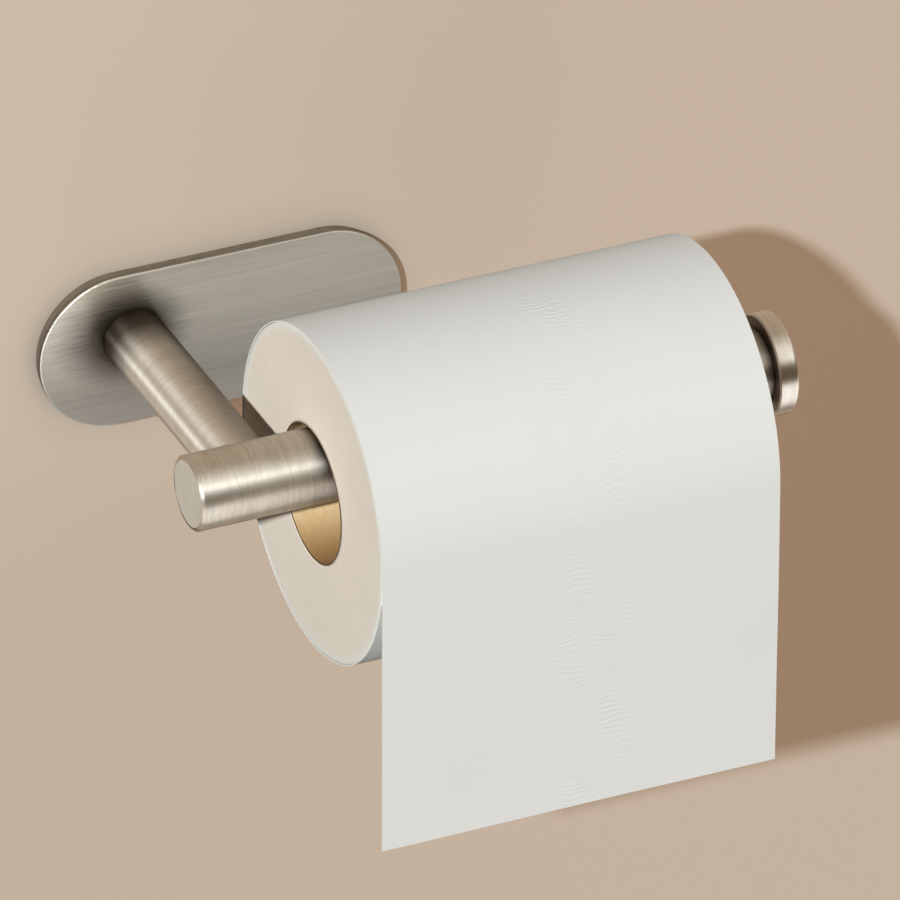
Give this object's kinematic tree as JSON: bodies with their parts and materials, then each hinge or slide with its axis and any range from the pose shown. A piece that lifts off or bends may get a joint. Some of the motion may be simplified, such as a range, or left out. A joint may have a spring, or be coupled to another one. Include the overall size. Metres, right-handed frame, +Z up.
{
  "type": "toilet paper holder",
  "caption": "Wall-mounted holder: a stadium plate, a round post and an open-ended bar with an end disc, carrying a roll of toilet paper whose end hangs down.",
  "frame": {"origin": "centre of the adhesive pad's back face, on the wall's surface", "axes": "+X along the bar towards its open end, +Y into the wall, +Z up"},
  "size_m": [0.1787, 0.1305, 0.1306],
  "materials": {
    "brushed_nickel": "satin",
    "plain_steel": "satin",
    "foam_tape": "matte",
    "kraft_board": "matte",
    "wound_tissue": "matte",
    "tissue_sheet": "matte"
  },
  "bodies": {
    "holder": {"wall_plate": "brushed_nickel", "adhesive_pad": "foam_tape", "post": "brushed_nickel", "post_root_plug": "plain_steel", "locating_pin": "plain_steel", "tie_screw": "plain_steel", "roll_bar": "brushed_nickel", "saddle_nut": "plain_steel", "bar_end_cap": "brushed_nickel", "disc_bush": "plain_steel", "disc_stud": "plain_steel", "end_disc": "brushed_nickel"},
    "outer_paper": {"outer_turn": "tissue_sheet"},
    "roll": {"cardboard_core": "kraft_board", "paper_roll": "wound_tissue"},
    "hanging_end": {"loose_sheet": "tissue_sheet"}
  },
  "joints": [
    {"name": "roll_slide", "type": "slide", "parent": "holder", "child": "outer_paper", "axis": [1, 0, 0], "range_m": [-0.0082, 0.0148]},
    {"name": "roll_spin", "type": "hinge", "parent": "outer_paper", "child": "roll", "pos_m": [0.0486, -0.0842, -0.005], "axis": [1, 0, 0], "range_deg": [0, 125]},
    {"name": "sheet_pull", "type": "slide", "parent": "outer_paper", "child": "hanging_end", "axis": [0, 0, -1], "range_m": [0, 0.1016], "deforming": ["loose_sheet"]}
  ],
  "couplings": [
    {"joint": "sheet_pull", "follows": "roll_spin", "m_per_rad": 0.04635}
  ]
}
